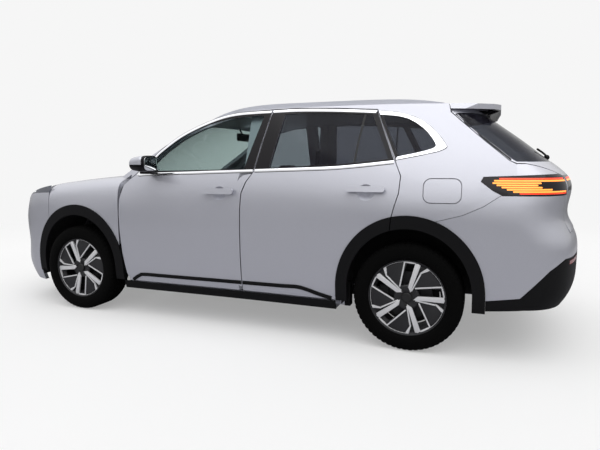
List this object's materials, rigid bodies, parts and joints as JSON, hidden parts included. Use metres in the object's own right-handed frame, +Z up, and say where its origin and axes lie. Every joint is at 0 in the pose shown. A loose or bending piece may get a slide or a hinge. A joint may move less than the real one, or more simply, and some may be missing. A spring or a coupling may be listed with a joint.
{
  "type": "crossover suv",
  "caption": "Five-door crossover car with opening doors, bonnet, tailgate and fuel flap, steered front wheels, rolling wheels, cladding and roof rails.",
  "frame": {"origin": "on the ground in the middle of the car's length and width", "axes": "+X forward, +Y to the car's left, +Z up"},
  "size_m": [4.7381, 2.3, 1.6899],
  "materials": {
    "paint": "gloss metallic",
    "underbody": "matt",
    "gloss_black": "gloss",
    "cladding": "satin",
    "clear_glass": "clear",
    "privacy_glass": "dark",
    "lamp_red": "gloss",
    "lamp_clear": "clear gloss",
    "rail_metal": "satin",
    "interior": "grained",
    "seat_trim": "soft",
    "chassis": "rough",
    "engine": "rough",
    "mirror_shell": "gloss",
    "tyre_rubber": "matt",
    "wheel_alloy": "machined and painted"
  },
  "bodies": {
    "body": {"body_shell": "paint", "floor_pan": "underbody", "front_fenders": "paint", "front_bumper": "paint", "front_grille": "gloss_black", "rear_bumper": "paint", "body_cladding": "cladding", "windscreen": "clear_glass", "quarter_windows": "privacy_glass", "tail_lamps": "lamp_red", "headlamps": "lamp_clear", "roof_rails": "rail_metal", "dashboard": "interior", "seats": "seat_trim", "front_subframe": "chassis", "rear_subframe": "chassis", "engine_block": "engine"},
    "bonnet": {"bonnet": "paint"},
    "front_door_left": {"front_door_left": "paint", "front_door_glass_left": "clear_glass", "mirror_left": "mirror_shell"},
    "front_door_right": {"front_door_right": "paint", "front_door_glass_right": "clear_glass", "mirror_right": "mirror_shell"},
    "rear_door_left": {"rear_door_left": "paint", "rear_door_glass_left": "privacy_glass", "rear_door_cladding_left": "cladding"},
    "rear_door_right": {"rear_door_right": "paint", "rear_door_glass_right": "privacy_glass", "rear_door_cladding_right": "cladding"},
    "tailgate": {"tailgate": "paint", "tailgate_glass": "privacy_glass", "tailgate_lamp_bar": "lamp_red"},
    "fuel_flap": {"fuel_flap": "paint"},
    "steering_wheel": {"steering_wheel": "interior"},
    "knuckle_left": {"knuckle_left": "chassis"},
    "knuckle_right": {"knuckle_right": "chassis"},
    "wheel_front_left": {"tyre_front_left": "tyre_rubber", "rim_front_left": "wheel_alloy"},
    "wheel_front_right": {"tyre_front_right": "tyre_rubber", "rim_front_right": "wheel_alloy"},
    "wheel_rear_left": {"tyre_rear_left": "tyre_rubber", "rim_rear_left": "wheel_alloy"},
    "wheel_rear_right": {"tyre_rear_right": "tyre_rubber", "rim_rear_right": "wheel_alloy"}
  },
  "joints": [
    {"name": "front_door_left_hinge", "type": "hinge", "parent": "body", "child": "front_door_left", "pos_m": [0.96, 0.915, 0.75], "axis": [0, 0, -1], "range_deg": [0, 68]},
    {"name": "rear_door_left_hinge", "type": "hinge", "parent": "body", "child": "rear_door_left", "pos_m": [-0.118, 0.925, 0.75], "axis": [0, 0, -1], "range_deg": [0, 65]},
    {"name": "front_door_right_hinge", "type": "hinge", "parent": "body", "child": "front_door_right", "pos_m": [0.96, -0.915, 0.75], "axis": [0, 0, 1], "range_deg": [0, 68]},
    {"name": "rear_door_right_hinge", "type": "hinge", "parent": "body", "child": "rear_door_right", "pos_m": [-0.118, -0.925, 0.75], "axis": [0, 0, 1], "range_deg": [0, 65]},
    {"name": "bonnet_hinge", "type": "hinge", "parent": "body", "child": "bonnet", "pos_m": [1.14, 0, 1.134], "axis": [0, -1, 0], "range_deg": [0, 50]},
    {"name": "tailgate_hinge", "type": "hinge", "parent": "body", "child": "tailgate", "pos_m": [-1.512, 0, 1.648], "axis": [0, 1, 0], "range_deg": [0, 80]},
    {"name": "fuel_flap_hinge", "type": "hinge", "parent": "body", "child": "fuel_flap", "pos_m": [-1.386, 0.9144, 1.064], "axis": [0, 0.288, -0.9576], "range_deg": [0, 90]},
    {"name": "steering_left", "type": "hinge", "parent": "body", "child": "knuckle_left", "pos_m": [1.465, 0.75, 0.3588], "axis": [0, 0, 1], "range_deg": [-33, 33]},
    {"name": "steering_right", "type": "hinge", "parent": "body", "child": "knuckle_right", "pos_m": [1.465, -0.75, 0.3588], "axis": [0, 0, 1], "range_deg": [-33, 33]},
    {"name": "steering_wheel_spin", "type": "hinge", "parent": "body", "child": "steering_wheel", "pos_m": [0.5, 0.37, 0.93], "axis": [-0.8829, 0, 0.4695], "range_deg": [-495, 495]},
    {"name": "wheel_front_left_spin", "type": "hinge", "parent": "knuckle_left", "child": "wheel_front_left", "pos_m": [1.465, 0.8125, 0.3588], "axis": [0, 1, 0], "continuous": true},
    {"name": "wheel_front_right_spin", "type": "hinge", "parent": "knuckle_right", "child": "wheel_front_right", "pos_m": [1.465, -0.8125, 0.3588], "axis": [0, 1, 0], "continuous": true},
    {"name": "wheel_rear_left_spin", "type": "hinge", "parent": "body", "child": "wheel_rear_left", "pos_m": [-1.29, 0.8125, 0.3588], "axis": [0, 1, 0], "continuous": true},
    {"name": "wheel_rear_right_spin", "type": "hinge", "parent": "body", "child": "wheel_rear_right", "pos_m": [-1.29, -0.8125, 0.3588], "axis": [0, 1, 0], "continuous": true}
  ],
  "couplings": [
    {"joint": "steering_right", "follows": "steering_left", "ratio": 1},
    {"joint": "steering_wheel_spin", "follows": "steering_left", "ratio": 15}
  ]
}
